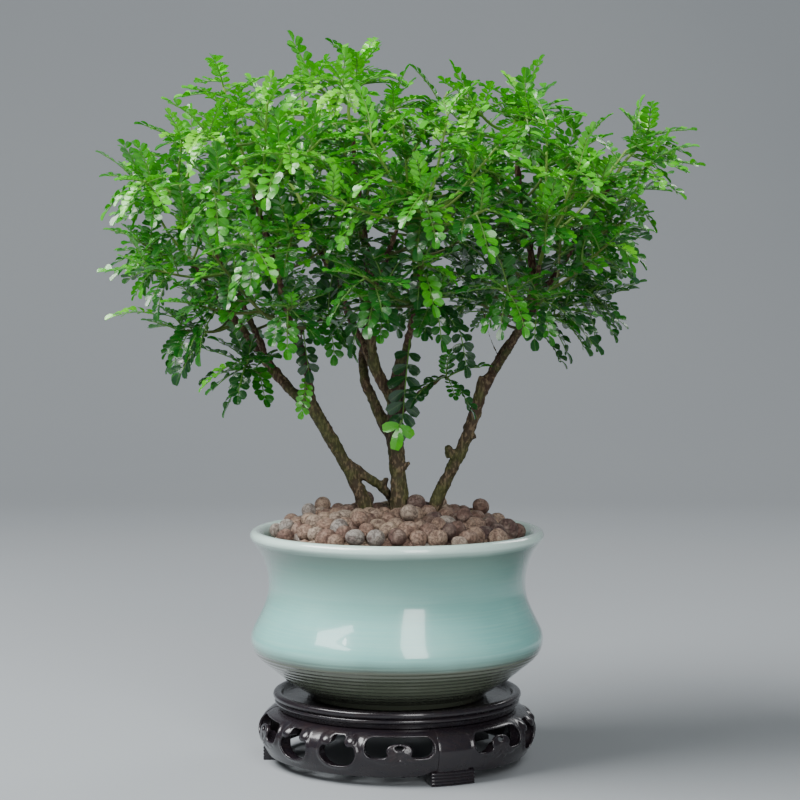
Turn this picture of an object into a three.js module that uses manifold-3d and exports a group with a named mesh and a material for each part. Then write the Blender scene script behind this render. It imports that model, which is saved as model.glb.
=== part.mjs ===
// A Japanese pepper bonsai: three slender stems with feathery leaves, standing in a
// waisted celadon pot topped with fired clay balls, on a carved three-footed wooden stand.
// Millimetres, +Z up. The origin is on the table, on the pot's axis; the front is -Y.

import * as THREE from "three";
import { mergeVertices } from "three/addons/utils/BufferGeometryUtils.js";
import Module from "manifold-3d";

// Driving dimensions

const GAP = 0.3; // between pieces that rest on each other
const CLEARANCE = 0.4; // round a stem where the soil, the clay balls and the shoots meet it
const SHORT_EDGE = 0.02;

const STAND = {
  height: 48, // to the top of the lip
  plateTop: 44, // the recessed face that the pot stands on
  plateBottom: 36.3,
  lipRadius: 84.5,
  recessRadius: 77.5,
  bulgeRadius: 93.7,
  apronTop: 36,
  apronBottom: 6,
  apronWall: 8,
  footCount: 3,
  firstFoot: 24 - 90, // degrees round from +X, so 24 degrees to the right of the front
  legHalfAngle: 6.6,
  padHalfAngle: 9.6,
  padHeight: 5.5,
};

const POT = {
  bottom: STAND.plateTop + GAP,
  rimTop: 158.2,
  radius: 100, // at the rim and again at the belly
  waistRadius: 87.3,
  wall: 6,
  floorTop: 51,
  drainRadius: 7,
};

const SOIL_TOP = 149;
const BALLS = {
  pitch: 20, // between the middles of two neighbours
  radius: 10.1,
  bedRadius: 87.6,
  edgeTop: 161.5, // height of the balls' tops at the rim, and their rise to the middle
  moundRise: 14,
};

const LEAF = {
  length: 44,
  pairs: 3,
  stalk: 7,
  endLeaflet: 8.5,
  leafletLength: 10,
  ribHalfWidth: 0.6,
  thickness: 0.7,
  fold: 0.22, // radians that each half of the leaf is raised about its rib
};
const LEAVES_PER_SHOOT = 3;
const TWIG = {
  radius: 2.2, // at its root, and how much less at its bend and again at its tip
  taper: 0.3,
  clear: 0.35, // from the end of its limb
  bendAt: 0.4, // share of the way from root to tip
  sag: 0.1, // how far the bend hangs down, as a share of the same
  internode: 0.28, // between leaves, as a share of the way from tip to bend
};
const GOLDEN_ANGLE = 2.39996;
const UP = new THREE.Vector3(0, 0, 1);

const COLOURS = {
  ebony: { color: 0x1c1412, roughness: 0.28, metalness: 0 },
  celadon: { color: 0x9ec4bd, roughness: 0.12, metalness: 0 },
  soil: { color: 0x2b2019, roughness: 0.95, metalness: 0 },
  clay: { color: 0x7d5a4a, roughness: 0.9, metalness: 0 },
  bark: { color: 0x4b3a26, roughness: 0.85, metalness: 0 },
  leaf: { color: 0x3d9a25, roughness: 0.35, metalness: 0 },
};

// Solids and draws

const wasm = await Module();
wasm.setup();

// A closed geometry as a solid that can be joined and cut.
function solid(geometry) {
  const bare = geometry.index ? geometry.toNonIndexed() : geometry.clone();
  for (const name of Object.keys(bare.attributes)) {
    if (name !== "position") bare.deleteAttribute(name);
  }
  const merged = mergeVertices(bare, 1e-4);
  return new wasm.Manifold(
    new wasm.Mesh({
      numProp: 3,
      vertProperties: merged.attributes.position.array,
      triVerts: new Uint32Array(merged.index.array),
    })
  );
}

function joined(solids) {
  return solids.reduce((whole, next) => whole.add(next));
}

function largestBody(shape) {
  return shape.decompose().sort((a, b) => b.volume() - a.volume())[0];
}

// The named mesh of a solid, its very short edges taken out.
function piece(name, shape, material) {
  const { vertProperties, triVerts, numProp, numVert } = shape.simplify(SHORT_EDGE).getMesh();
  const position = new Float32Array(numVert * 3);
  for (let i = 0; i < numVert; i += 1) {
    position.set(vertProperties.subarray(i * numProp, i * numProp + 3), i * 3);
  }
  const geometry = new THREE.BufferGeometry();
  geometry.setAttribute("position", new THREE.BufferAttribute(position, 3));
  geometry.setIndex(new THREE.BufferAttribute(new Uint32Array(triVerts), 1));
  const mesh = new THREE.Mesh(geometry, new THREE.MeshStandardMaterial(COLOURS[material]));
  mesh.name = name;
  return mesh;
}

// A number from 0 to 1 that depends only on a and b, so every run draws the same.
function draw(a, b) {
  const wave = Math.sin(a * 12.9898 + b * 78.233) * 43758.5453;
  return wave - Math.floor(wave);
}

function between(low, high, a, b) {
  return low + (high - low) * draw(a, b);
}

const radians = THREE.MathUtils.degToRad;

// A profile of [radius, height] points turned about Z, closed on itself or on the axis.
function turned(profile, segments, start = 0, sweep = 360) {
  const points = profile.map(([r, z]) => new THREE.Vector2(r, z));
  if (sweep === 360) {
    const lathe = new THREE.LatheGeometry(points, segments, 0, 2 * Math.PI);
    return solid(lathe.rotateX(Math.PI / 2));
  }
  return solid(sector(profile, segments, radians(start), radians(sweep)));
}

// A closed profile swept about Z through part of a turn, with flat ends.
function sector(profile, segments, start, sweep) {
  const n = profile.length;
  const position = [];
  for (let i = 0; i <= segments; i += 1) {
    const a = start + (sweep * i) / segments;
    for (const [r, z] of profile) position.push(r * Math.cos(a), r * Math.sin(a), z);
  }
  const index = [];
  for (let i = 0; i < segments; i += 1) {
    for (let j = 0; j < n; j += 1) {
      const a = i * n + j;
      const b = i * n + ((j + 1) % n);
      index.push(a, a + n, b + n, a, b + n, b);
    }
  }
  const outline = profile.map(([r, z]) => new THREE.Vector2(r, z));
  const last = segments * n;
  for (const [a, b, c] of THREE.ShapeUtils.triangulateShape(outline, [])) {
    index.push(a, b, c, last + a, last + c, last + b);
  }
  const geometry = new THREE.BufferGeometry();
  geometry.setAttribute("position", new THREE.Float32BufferAttribute(position, 3));
  return geometry.setIndex(index);
}

// The carved wooden stand: a turned top with a lip, three legs and three openwork aprons.

const bulge = [
  [81, STAND.apronTop],
  [88.5, 32],
  [STAND.bulgeRadius, 23],
  [92, 13],
  [88.5, STAND.apronBottom],
];

function standTop() {
  const { height, plateTop, plateBottom, lipRadius, recessRadius } = STAND;
  const profile = [
    [0, plateBottom],
    [80, plateBottom],
    [83.2, 38.4],
    [83.2, 40.6],
    [81.8, 42],
    [lipRadius, 43.6],
    [lipRadius, 46.4],
    [lipRadius - 1.6, height],
    [recessRadius + 1.6, height],
    [recessRadius, plateTop],
    [0, plateTop],
  ];
  return turned(profile, 24);
}

// An opening's outline, u along the apron and v up, cut straight out through the wall.
function openingCutter(outline, angle) {
  const shape = new THREE.Shape(outline.map(([u, v]) => new THREE.Vector2(u, v)));
  const cut = new THREE.ExtrudeGeometry(shape, { depth: 40, bevelEnabled: false });
  cut.rotateX(Math.PI / 2).rotateZ(Math.PI / 2);
  cut.translate(70, 0, 0).rotateZ(angle);
  return solid(cut);
}

function roundOpening(halfWidth, low, high) {
  const outline = [];
  const sides = 8;
  const power = 0.8; // squarer than an ellipse
  for (let i = 0; i < sides; i += 1) {
    const a = (2 * Math.PI * (i + 0.5)) / sides;
    const u = Math.sign(Math.cos(a)) * Math.abs(Math.cos(a)) ** power;
    const v = Math.sign(Math.sin(a)) * Math.abs(Math.sin(a)) ** power;
    outline.push([halfWidth * u, (low + high) / 2 + ((high - low) / 2) * v]);
  }
  return outline;
}

// A long opening whose lower edge rises to a carved scroll in its middle.
function longOpening() {
  const halfWidth = 22.5;
  const low = 19;
  const high = 33;
  return [
    [-halfWidth, 27],
    [-halfWidth + 4.5, low],
    [-8, low],
    [-4, low + 4.5],
    [4, low + 4.5],
    [8, low],
    [halfWidth - 4.5, low],
    [halfWidth, 27],
    [halfWidth - 4, high],
    [-halfWidth + 4, high],
  ];
}

function apron(footAngle) {
  const { legHalfAngle, apronWall, footCount } = STAND;
  const clear = 0.25; // degrees between a leg and an apron
  const inner = [bulge[4], bulge[2], bulge[0]].map(([r, z]) => [r - apronWall, z]);
  const span = 360 / footCount;
  const start = footAngle + legHalfAngle + clear;
  const profile = [...inner, ...bulge].reverse();
  let made = turned(profile, 10, start, span - 2 * (legHalfAngle + clear));
  const openings = [
    [longOpening(), 22.6],
    [roundOpening(13.4, 12.5, 33), 49.6],
    [roundOpening(13.4, 12.5, 33), span - 49.6],
    [longOpening(), span - 22.6],
  ];
  for (const [outline, angle] of openings) {
    made = made.subtract(openingCutter(outline, radians(footAngle + angle)));
  }
  return made;
}

function leg(footAngle) {
  const { legHalfAngle, padHalfAngle, padHeight, apronTop } = STAND;
  const post = [
    [76, 0],
    [91.5, 0],
    [90.2, 7],
    [92.2, 13],
    [STAND.bulgeRadius + 0.6, 23],
    [88.8, 32],
    [81.2, apronTop],
    [77, apronTop],
    [78, 20],
  ];
  const pad = [
    [76, 0],
    [91.5, 0],
    [90.4, padHeight],
    [77, padHeight],
  ];
  const upright = turned(post, 2, footAngle - legHalfAngle, 2 * legHalfAngle);
  return upright.add(turned(pad, 2, footAngle - padHalfAngle, 2 * padHalfAngle));
}

// The thrown pot: rim and belly of one width, a waist between them, and a turned foot.

const potInside = [
  [58, POT.floorTop + 1.5],
  [88.5, 74.5],
  [93.2, 83.5],
  [84, 106],
  [POT.waistRadius - POT.wall, 121],
  [84.4, 138],
  [91.2, 153.5],
];

function pot() {
  const { bottom, rimTop, radius, waistRadius, floorTop, drainRadius } = POT;
  const profile = [
    [drainRadius, bottom + 2.5],
    [50, bottom + 2.5],
    [51.5, bottom],
    [59.5, bottom],
    [62, 48],
    [85.4, 65],
    [97, 75.5],
    [radius, 83.5],
    [98, 91],
    [90.4, 106],
    [waistRadius, 121],
    [90.6, 138],
    [98.6, 150],
    [radius, 154.5],
    [95.8, rimTop],
    ...[...potInside].reverse(),
    [drainRadius, floorTop],
    [drainRadius, bottom + 2.5],
  ];
  return turned(profile, 24);
}

function soil() {
  const inset = potInside.slice(0, -1).map(([r, z]) => [r - 1.1, z + 0.3]);
  return turned([[0, POT.floorTop + GAP], ...inset, [87, SOIL_TOP], [0, SOIL_TOP]], 12);
}

// The clay balls lie side by side in a honeycomb. A cell is named by two whole numbers, and
// neighbour k of a cell lies 60 k degrees round from it.
const neighbours = [[1, 0], [0, 1], [-1, 1], [-1, 0], [0, -1], [1, -1]];

function honeycomb(q, r) {
  return [BALLS.pitch * (q + r / 2), BALLS.pitch * Math.sin(Math.PI / 3) * r];
}

// The hollow between three balls: cell (q, r) and its neighbours k - 1 and k.
function hollow(q, r, k) {
  const [a, b] = [neighbours[k % 6], neighbours[(k + 5) % 6]];
  const [x, y] = honeycomb((3 * q + a[0] + b[0]) / 3, (3 * r + a[1] + b[1]) / 3);
  return [x, y, ballTop(x, y) - 0.8 * BALLS.radius];
}

// The tops of the balls follow a low mound, higher than the pot's rim in the middle.
function ballTop(x, y) {
  return BALLS.edgeTop + BALLS.moundRise * (1 - (x * x + y * y) / BALLS.bedRadius ** 2);
}

// The dome of one ball: its top, a ring round its shoulder, and the hollows about it.
function ballDome(q, r, corners, position) {
  const [x, y] = honeycomb(q, r);
  const size = BALLS.radius * between(0.88, 1.04, q, r);
  const [cx, cy] = [x + between(-0.9, 0.9, q, r + 40), y + between(-0.9, 0.9, q, r + 80)];
  const top = ballTop(x, y) + between(-1.6, 1.2, q, r + 120);
  for (let k = 0; k < 6; k += 1) {
    const [a, b] = [k, k + 1].map((i) => {
      const turn = (Math.PI / 3) * i - Math.PI / 6;
      const shoulder = 0.74 * size;
      return [cx + shoulder * Math.cos(turn), cy + shoulder * Math.sin(turn), top - 0.33 * size];
    });
    position.push(...a, ...b, cx, cy, top);
    position.push(...corners[k], ...corners[(k + 1) % 6], ...b, ...corners[k], ...b, ...a);
  }
}

function clayBalls() {
  const bottom = SOIL_TOP + GAP;
  const reach = Math.ceil((2.4 * BALLS.bedRadius) / BALLS.pitch);
  const kept = ([q, r]) => Math.hypot(...honeycomb(q, r)) < BALLS.bedRadius + 0.6 * BALLS.pitch;
  const position = [];
  for (let q = -reach; q <= reach; q += 1) {
    for (let r = -reach; r <= reach; r += 1) {
      if (!kept([q, r])) continue;
      const corners = neighbours.map((_, k) => hollow(q, r, k));
      const below = corners.map(([x, y]) => [x, y, bottom]);
      ballDome(q, r, corners, position);
      for (let k = 0; k < 6; k += 1) {
        const next = (k + 1) % 6;
        if (k > 0 && k < 5) position.push(...below[0], ...below[next], ...below[k]);
        if (kept([q + neighbours[k][0], r + neighbours[k][1]])) continue;
        position.push(...below[k], ...below[next], ...corners[next]);
        position.push(...below[k], ...corners[next], ...corners[k]);
      }
    }
  }
  const geometry = new THREE.BufferGeometry();
  geometry.setAttribute("position", new THREE.Float32BufferAttribute(position, 3));
  const disc = turned([[0, 140], [BALLS.bedRadius, 140], [BALLS.bedRadius, 190], [0, 190]], 20);
  return solid(geometry).intersect(disc);
}

// The stems: each is a list of [x, y, z, radius] down its middle, the first in the soil.

const STEMS = {
  left: {
    trunk: [
      [-17, 5, 132, 6.2],
      [-21, 4, 170, 6.4],
      [-31, 2, 194, 5.4],
      [-46, -2, 222, 5],
      [-58, -5, 243, 5],
      [-60, -6, 250, 4.2],
    ],
    foot: [
      [-2, 12, 140, 3.2],
      [-2, 11.5, 172, 3.2],
      [-5, 10, 179, 3.1],
      [-12, 7, 187, 3.1],
      [-21, 4, 193, 3],
      [-34, 0, 204, 3],
    ],
    long: [
      [-55, -4, 238, 4.2],
      [-76, 8, 256, 3.6],
      [-96, 24, 279, 3.2],
      [-122, 40, 312, 2.6],
      [-143, 48, 338, 2],
    ],
    upright: [
      [-58, -5, 241, 3.6],
      [-61, -18, 270, 2.8],
      [-71, -32, 300, 2.5],
      [-80, -42, 335, 2.2],
      [-94, -44, 385, 1.7],
    ],
    middle: [
      [-86, 16, 267, 2.8],
      [-100, 4, 300, 2.3],
      [-118, -8, 338, 2],
      [-138, -10, 368, 1.6],
    ],
  },
  centre: {
    trunk: [
      [3, 0, 132, 7.6],
      [2, 0, 170, 7.4],
      [1, 0, 192, 6.2],
      [-1, 0, 216, 6],
      [-1, 0, 240, 5.6],
      [1, 1, 262, 5.2],
      [3, 2, 271, 4.6],
    ],
    upright: [
      [-1, 0, 243, 4.4],
      [-13, -3, 264, 4],
      [-17, -8, 285, 3.2],
      [-15, -12, 320, 2.8],
      [-24, -14, 370, 2.2],
      [-30, -10, 425, 1.6],
    ],
    back_left: [
      [-12, -3, 262, 3.6],
      [-28, 10, 292, 3],
      [-42, 28, 325, 2.6],
      [-56, 55, 352, 2.1],
      [-66, 78, 375, 1.7],
    ],
    back: [
      [-2, 0, 216, 4],
      [-14, 9, 240, 3.9],
      [-23, 20, 264, 3.3],
      [-20, 48, 300, 2.7],
      [-6, 78, 345, 2.1],
      [4, 98, 372, 1.7],
    ],
    front: [
      [1, 0, 262, 3.2],
      [8, -20, 290, 2.7],
      [14, -48, 322, 2.3],
      [16, -84, 350, 1.8],
    ],
    low: [
      [1, 0, 236, 2.4],
      [13, -7, 248, 2.1],
      [26, -16, 259, 1.8],
    ],
  },
  right: {
    trunk: [
      [20, 3, 132, 5.6],
      [25, 2, 170, 5.4],
      [35, 2, 194, 4.8],
      [46, 1, 217, 5],
      [56, 0, 248, 4.8],
      [58, 0, 258, 4.4],
    ],
    upright: [
      [56, 0, 248, 4],
      [73, 4, 279, 3.3],
      [88, 8, 301, 2.9],
      [92, 10, 335, 2.5],
      [84, 8, 385, 2],
      [80, 4, 412, 1.6],
    ],
    outer: [
      [86, 7, 296, 2.8],
      [108, 10, 332, 2.4],
      [133, 12, 372, 2.1],
      [148, 12, 396, 1.7],
    ],
    back: [
      [78, 5, 285, 2.8],
      [90, 32, 308, 2.4],
      [98, 66, 332, 2],
      [102, 88, 350, 1.6],
    ],
    front: [
      [64, 2, 262, 2.9],
      [78, -26, 288, 2.4],
      [88, -58, 318, 2],
      [92, -80, 340, 1.6],
    ],
  },
};

// The leafy shoots: where each leaves its limb (0 root end, 1 tip) and where its tip is.
// Those that make the outline seen from the front come first.

const SHOOTS = [
  { stem: "left", limb: "middle", from: 1, tip: [-178, -8, 396] },
  { stem: "left", limb: "long", from: 1, tip: [-172, 52, 346] },
  { stem: "left", limb: "long", from: 0.62, tip: [-150, 20, 292] },
  { stem: "left", limb: "long", from: 0.3, tip: [-104, -22, 272] },
  { stem: "left", limb: "upright", from: 1, tip: [-116, -30, 460] },
  { stem: "centre", limb: "upright", from: 1, tip: [-22, 0, 474] },
  { stem: "centre", limb: "upright", from: 0.72, tip: [34, 14, 453] },
  { stem: "right", limb: "upright", from: 1, tip: [84, -4, 448] },
  { stem: "right", limb: "outer", from: 1, tip: [172, 12, 424] },
  { stem: "right", limb: "outer", from: 0.6, tip: [150, -22, 366] },
  { stem: "right", limb: "outer", from: 0.2, tip: [138, 16, 314] },
  { stem: "centre", limb: "low", from: 1, tip: [34, -30, 262] },
  { stem: "left", limb: "upright", from: 0.62, tip: [-64, -104, 366] },
  { stem: "centre", limb: "front", from: 1, tip: [16, -146, 384] },
  { stem: "right", limb: "front", from: 1, tip: [94, -116, 372] },
  { stem: "left", limb: "upright", from: 0.4, tip: [-118, -82, 344] },
  { stem: "centre", limb: "front", from: 0.6, tip: [4, -70, 428] },
  { stem: "centre", limb: "back_left", from: 1, tip: [-78, 116, 390] },
  { stem: "centre", limb: "back", from: 1, tip: [6, 146, 396] },
  { stem: "right", limb: "back", from: 1, tip: [92, 122, 384] },
  { stem: "left", limb: "long", from: 0.8, tip: [-122, 98, 336] },
  { stem: "right", limb: "back", from: 0.55, tip: [140, 86, 352] },
  { stem: "centre", limb: "back_left", from: 0.6, tip: [-66, 44, 456] },
  { stem: "right", limb: "upright", from: 0.66, tip: [56, 66, 428] },
  { stem: "right", limb: "upright", from: 0.8, tip: [122, -44, 416] },
  { stem: "centre", limb: "front", from: 0.6, tip: [26, -92, 318] },
  { stem: "centre", limb: "back_left", from: 0.8, tip: [-122, 76, 430] },
  { stem: "left", limb: "upright", from: 0.9, tip: [-82, -97, 440] },
  { stem: "right", limb: "back", from: 0.75, tip: [47, 118, 326] },
  { stem: "left", limb: "upright", from: 0.4, tip: [-41, -59, 307] },
  { stem: "right", limb: "front", from: 0.5, tip: [113, -41, 308] },
  { stem: "centre", limb: "back_left", from: 0.95, tip: [-45, 101, 452] },
  { stem: "right", limb: "front", from: 0.75, tip: [136, -82, 352] },
];

// A tube of the given sides through [point, radius] stations, closed at both ends.
function limbGeometry(stations, sides, grow = 0) {
  const position = [];
  const side = new THREE.Vector3(0, 1, 0);
  stations.forEach(([x, y, z, r], i) => {
    const before = new THREE.Vector3(...stations[Math.max(i - 1, 0)]);
    const after = new THREE.Vector3(...stations[Math.min(i + 1, stations.length - 1)]);
    const along = after.sub(before).normalize();
    side.addScaledVector(along, -side.dot(along)).normalize();
    const other = new THREE.Vector3().crossVectors(along, side);
    for (let k = 0; k < sides; k += 1) {
      const a = (2 * Math.PI * k) / sides;
      const out = (r + grow) * Math.cos(a);
      const across = (r + grow) * Math.sin(a);
      position.push(
        x + side.x * out + other.x * across,
        y + side.y * out + other.y * across,
        z + side.z * out + other.z * across
      );
    }
  });
  const index = [];
  for (let i = 0; i + 1 < stations.length; i += 1) {
    for (let k = 0; k < sides; k += 1) {
      const a = i * sides + k;
      const b = i * sides + ((k + 1) % sides);
      index.push(a, b, b + sides, a, b + sides, a + sides);
    }
  }
  const last = (stations.length - 1) * sides;
  for (let k = 1; k + 1 < sides; k += 1) {
    index.push(0, k + 1, k, last, last + k, last + k + 1);
  }
  const geometry = new THREE.BufferGeometry();
  geometry.setAttribute("position", new THREE.Float32BufferAttribute(position, 3));
  return geometry.setIndex(index);
}

// One stem with its limbs as a solid; grow makes it thicker all over, to cut clearance.
function stemSolid(stem, grow = 0) {
  const limbs = Object.entries(stem).map(([name, stations]) =>
    solid(limbGeometry(stations, name === "trunk" ? 6 : 5, grow))
  );
  return joined(limbs);
}

// The point at share t of a limb's length.
function pointOn(stations, t) {
  const line = new THREE.CurvePath();
  for (let i = 0; i + 1 < stations.length; i += 1) {
    const [a, b] = [stations[i], stations[i + 1]].map(([x, y, z]) => new THREE.Vector3(x, y, z));
    line.add(new THREE.LineCurve3(a, b));
  }
  return line.getPointAt(t);
}

// A shoot's twig, three points with one bend. One at the end of its limb carries on in line
// with it, just clear of it. The others start inside the limb, and are cut back to its bark.
function twigLine({ stem, limb, from, tip }) {
  const stations = STEMS[stem][limb];
  const end = new THREE.Vector3(...tip);
  const root = pointOn(stations, from);
  const reach = root.distanceTo(end);
  if (from === 1) {
    const along = root.clone().sub(pointOn(stations, 0.95)).normalize();
    const bend = root.clone().addScaledVector(along, TWIG.bendAt * reach);
    return [root.addScaledVector(along, TWIG.clear), bend, end];
  }
  return [root, root.clone().lerp(end, TWIG.bendAt).addScaledVector(UP, -TWIG.sag * reach), end];
}

// Where leaf j of a shoot starts, its direction, and the normal of its upper face.
function leafFrame([, bendPoint, tip], shoot, j, turn) {
  const start = tip.clone().lerp(bendPoint, 0.02 + TWIG.internode * j);
  const axis = tip.clone().sub(bendPoint).normalize();
  const across = new THREE.Vector3().crossVectors(UP, axis);
  if (across.length() < 0.2) across.set(1, 0, 0);
  across.normalize();
  const over = new THREE.Vector3().crossVectors(axis, across);
  const angle = j * GOLDEN_ANGLE + turn;
  const out = across.multiplyScalar(Math.cos(angle)).addScaledVector(over, Math.sin(angle));
  const lean = j === 0 ? 0.45 : between(0.85, 1.15, shoot, j + 10);
  const along = axis.multiplyScalar(Math.cos(lean)).addScaledVector(out, Math.sin(lean)).normalize();
  const face = UP.clone().addScaledVector(along, -UP.dot(along));
  if (face.length() < 0.35) face.addScaledVector(axis, -1).addScaledVector(along, axis.dot(along));
  face.normalize();
  const bend = between(0.5, 1.1, shoot, j + 20) / LEAF.length;
  return { start, along, face, bend };
}

// The point of a leaf at u along its rib and v across it, raised by h off its face.
function leafPoint({ start, along, face, bend }, u, v, h) {
  const swing = bend * u;
  const across = new THREE.Vector3().crossVectors(face, along);
  const normal = face.clone().multiplyScalar(Math.cos(swing)).addScaledVector(along, Math.sin(swing));
  return start
    .clone()
    .addScaledVector(along, Math.sin(swing) / bend)
    .addScaledVector(face, -(1 - Math.cos(swing)) / bend)
    .addScaledVector(across, v * Math.cos(LEAF.fold))
    .addScaledVector(normal, Math.abs(v) * Math.sin(LEAF.fold) + h);
}

// One half of a compound leaf's outline, from the middle of its twig to its tip. Past the
// stalk each leaflet has three points: where it leaves the rib, and its two outer corners.
function halfOutline() {
  const { length, pairs, stalk, endLeaflet, leafletLength, ribHalfWidth } = LEAF;
  const pitch = (length - stalk - endLeaflet) / pairs;
  const points = [[0, ribHalfWidth]];
  for (let i = 0; i < pairs; i += 1) {
    const u = stalk + pitch * i;
    const reach = leafletLength * (1 - 0.08 * Math.abs(i - 1));
    points.push([u, ribHalfWidth], [u + 0.1 * pitch, 0.82 * reach], [u + 0.74 * pitch, reach]);
  }
  points.push([length - endLeaflet, ribHalfWidth], [length - 0.2 * endLeaflet, 0.36 * endLeaflet]);
  return points;
}

// One compound leaf, an arched blade of even thickness with its outline cut to leaflets.
// Its rib is a strip of quads, with one more quad on each side for each leaflet.
function leafSolid(frame) {
  const half = halfOutline();
  const n = half.length;
  const position = [];
  for (const h of [LEAF.thickness / 2, -LEAF.thickness / 2]) {
    for (const side of [-1, 1]) {
      for (const [u, v] of half) position.push(...leafPoint(frame, u, side * v, h).toArray());
    }
  }
  const quads = [[0, 1, n + 1, n]];
  for (let a = 1; a + 3 < n; a += 3) {
    quads.push([a, a + 3, n + a + 3, n + a], [a, a + 1, a + 2, a + 3]);
    quads.push([n + a, n + a + 3, n + a + 2, n + a + 1]);
  }
  quads.push([n - 2, n - 1, 2 * n - 1, 2 * n - 2]);
  const index = [];
  for (const [a, b, c, d] of quads) {
    index.push(a, b, c, a, c, d);
    for (const k of [a, c, b, a, d, c]) index.push(2 * n + k);
  }
  const ring = [...half.keys(), ...[...half.keys()].reverse().map((k) => n + k)];
  ring.forEach((a, k) => {
    const b = ring[(k + 1) % ring.length];
    index.push(a, 2 * n + a, 2 * n + b, a, 2 * n + b, b);
  });
  const geometry = new THREE.BufferGeometry();
  geometry.setAttribute("position", new THREE.Float32BufferAttribute(position, 3));
  return solid(geometry.setIndex(index));
}

// Balls that stand for what is already in the canopy: [centre, radius, shoot].
const taken = [];

function twigBalls([root, bend, tip], shoot) {
  const middles = [0.3, 0.65, 1].flatMap((t) => [root.clone().lerp(bend, t), bend.clone().lerp(tip, t)]);
  return middles.map((point) => [point, 2, shoot]);
}

function leafBalls(frame, shoot) {
  return [6, 14, 22, 30, 38].map((u) => [leafPoint(frame, u, 0, 2), u < 36 ? 8.5 : 6, shoot]);
}

function clearance(balls) {
  let least = Infinity;
  for (const [centre, radius, shoot] of balls) {
    for (const [other, size, owner] of taken) {
      if (owner !== shoot) least = Math.min(least, centre.distanceTo(other) - radius - size);
    }
  }
  return least;
}

// The first turn of the leaf about the twig that keeps it clear of the rest of the tree.
function clearLeaf(twig, shoot, j) {
  let best = null;
  for (let attempt = 0; attempt < 9; attempt += 1) {
    const step = Math.ceil(attempt / 2) * (attempt % 2 ? 0.17 : -0.17);
    const frame = leafFrame(twig, shoot, j, between(0, 6.28, shoot, 3) + step);
    const room = clearance(leafBalls(frame, shoot));
    if (!best || room > best.room) best = { frame, room };
    if (room > 0.5) break;
  }
  return best.frame;
}

function placeTree() {
  for (const stem of Object.values(STEMS)) {
    for (const stations of Object.values(stem)) {
      for (let t = 0; t <= 1; t += 0.1) taken.push([pointOn(stations, t), 3.5, null]);
    }
  }
  const twigs = SHOOTS.map(twigLine);
  twigs.forEach((twig, shoot) => taken.push(...twigBalls(twig, shoot)));
  return twigs.map((twig, shoot) => {
    const leaves = [];
    for (let j = 0; j < LEAVES_PER_SHOOT; j += 1) {
      const frame = clearLeaf(twig, shoot, j);
      taken.push(...leafBalls(frame, shoot));
      leaves.push(frame);
    }
    return { twig, leaves };
  });
}

function twigSolid(twig) {
  const stations = twig.map((point, i) => [...point.toArray(), TWIG.radius - TWIG.taper * i]);
  return solid(limbGeometry(stations, 3));
}

// The whole object

const group = new THREE.Group();
group.add(piece("stand_top", standTop(), "ebony"));
for (let i = 0; i < STAND.footCount; i += 1) {
  const angle = STAND.firstFoot + (360 / STAND.footCount) * i;
  group.add(piece(`stand_leg_${i + 1}`, leg(angle), "ebony"));
  group.add(piece(`stand_apron_${i + 1}`, apron(angle), "ebony"));
}
group.add(piece("pot", pot(), "celadon"));

const thickStems = Object.values(STEMS).map((stem) => stemSolid(stem, CLEARANCE));
const stemRoom = joined(thickStems);
group.add(piece("soil", soil().subtract(stemRoom), "soil"));
group.add(piece("clay_balls", largestBody(clayBalls().subtract(stemRoom)), "clay"));
for (const [name, stem] of Object.entries(STEMS)) {
  group.add(piece(`stem_${name}`, stemSolid(stem), "bark"));
}
placeTree().forEach(({ twig, leaves }, i) => {
  const spray = joined([twigSolid(twig), ...leaves.map(leafSolid)]);
  const name = `spray_${String(i + 1).padStart(2, "0")}`;
  group.add(piece(name, largestBody(spray.subtract(stemRoom)), "leaf"));
});

export default group;
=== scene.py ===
# A Japanese pepper bonsai in a celadon pot on a carved stand, dressed over its solids.
# Sizes are in millimetres and are made metres as each mesh is built. The front is -Y.

import math

import bpy
import numpy as np
from mathutils import Matrix, Vector


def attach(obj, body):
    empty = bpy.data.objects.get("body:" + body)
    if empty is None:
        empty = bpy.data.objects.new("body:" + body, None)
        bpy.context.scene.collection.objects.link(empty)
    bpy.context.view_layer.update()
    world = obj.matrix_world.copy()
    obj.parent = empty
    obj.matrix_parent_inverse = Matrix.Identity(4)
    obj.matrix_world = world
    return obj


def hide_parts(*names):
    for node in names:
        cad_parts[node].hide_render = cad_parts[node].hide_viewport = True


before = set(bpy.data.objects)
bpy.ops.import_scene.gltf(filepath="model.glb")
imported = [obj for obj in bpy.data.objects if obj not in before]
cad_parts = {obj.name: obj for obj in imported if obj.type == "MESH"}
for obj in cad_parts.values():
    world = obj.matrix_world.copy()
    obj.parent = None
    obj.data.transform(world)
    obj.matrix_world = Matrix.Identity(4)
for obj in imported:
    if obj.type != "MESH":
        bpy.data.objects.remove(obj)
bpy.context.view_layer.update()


# The stand's top: a round plate of dark hardwood, turned on a lathe, with a shallow recess
# for the pot, two beads round its edge and a waist under them. It has a soft polish.

MM = 0.001
WELD = 0.005 * MM  # points nearer to each other than this are merged


def smoothed(stations, steps, closed=False):
    """A smooth line through the stations, with steps points from each to the next."""
    points = np.array(stations, float)
    if closed:
        ends = (points[-1], points[0], points[1])
    else:
        ends = (2 * points[0] - points[1], 2 * points[-1] - points[-2])
    points = np.vstack([ends[0], points, *ends[1:]])
    line = []
    for a, b, c, d in zip(points, points[1:], points[2:], points[3:]):
        for t in np.arange(steps) / steps:
            curve = 2 * b + (c - a) * t + (2 * a - 5 * b + 4 * c - d) * t**2
            line.append((curve + (3 * b - a - 3 * c + d) * t**3) / 2)
    return np.array(line if closed else [*line, points[-2]])


def only(piece):
    """Selects one piece alone and makes it the active one."""
    bpy.ops.object.select_all(action="DESELECT")
    piece.select_set(True)
    bpy.context.view_layer.objects.active = piece


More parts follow.
